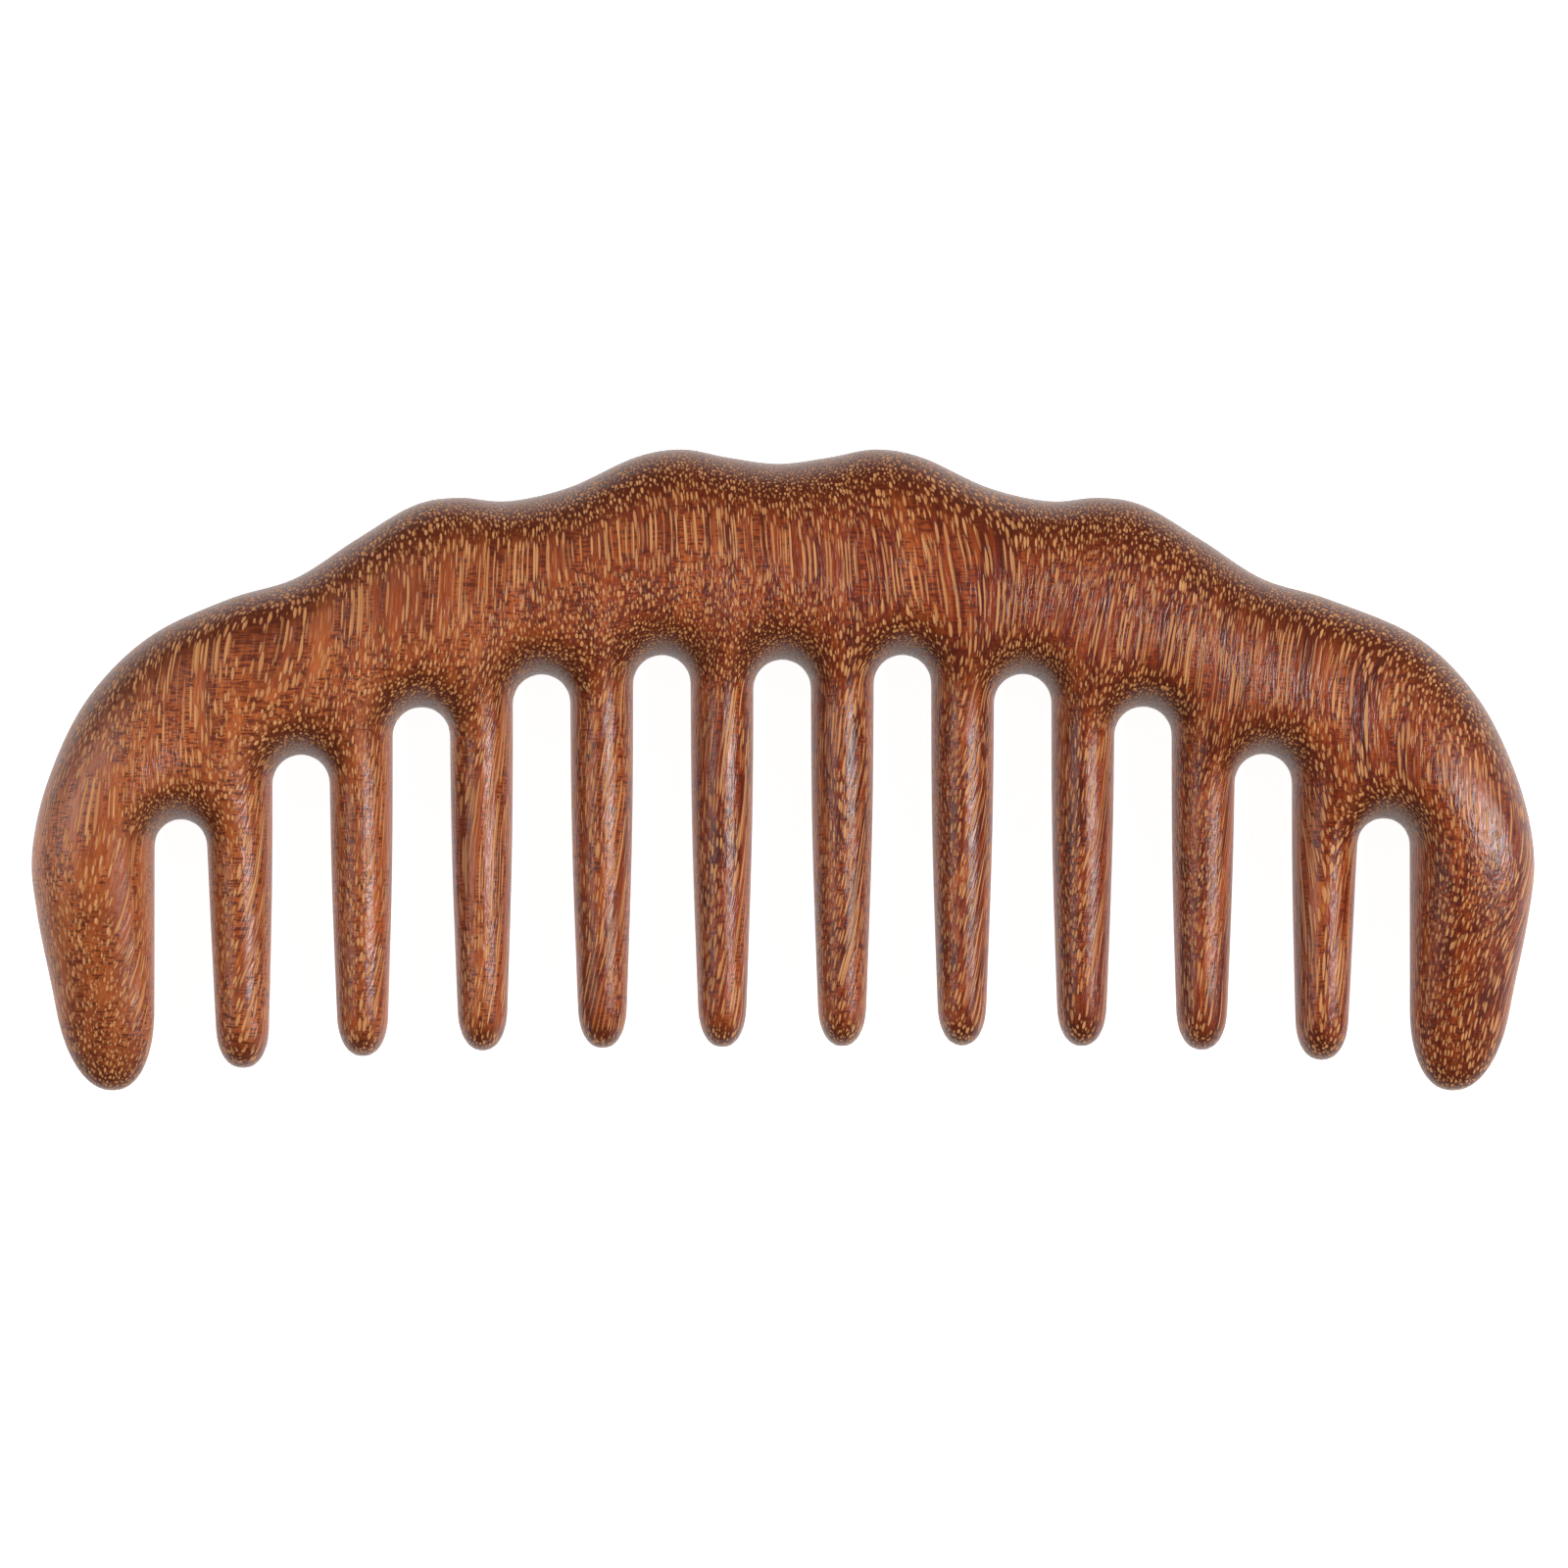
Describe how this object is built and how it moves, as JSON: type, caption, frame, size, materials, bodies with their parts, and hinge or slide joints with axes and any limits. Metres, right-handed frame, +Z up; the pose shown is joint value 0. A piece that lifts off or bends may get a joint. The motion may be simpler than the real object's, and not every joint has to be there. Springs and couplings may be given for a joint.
{
  "type": "hair comb",
  "caption": "Wide-tooth wooden hair comb with a thick arched spine, a wavy grip edge, broad guard teeth at both ends and blunt round teeth between them.",
  "frame": {"origin": "middle of the comb's bounding box in length and width, on the plane of its flat back face", "axes": "+X along the comb's length to the right guard tooth, +Y from the tooth tips to the wavy grip edge, +Z up through the thickness, out of the front face"},
  "size_m": [0.1648, 0.0704, 0.016],
  "materials": {
    "wood": "fine-pored reddish-brown hardwood, hand polished and waxed to a satin gloss"
  },
  "bodies": {
    "root": {"spine": "wood", "guard_tooth_left": "wood", "tooth_01": "wood", "tooth_02": "wood", "tooth_03": "wood", "tooth_04": "wood", "tooth_05": "wood", "tooth_06": "wood", "tooth_07": "wood", "tooth_08": "wood", "tooth_09": "wood", "tooth_10": "wood", "guard_tooth_right": "wood"}
  },
  "joints": []
}
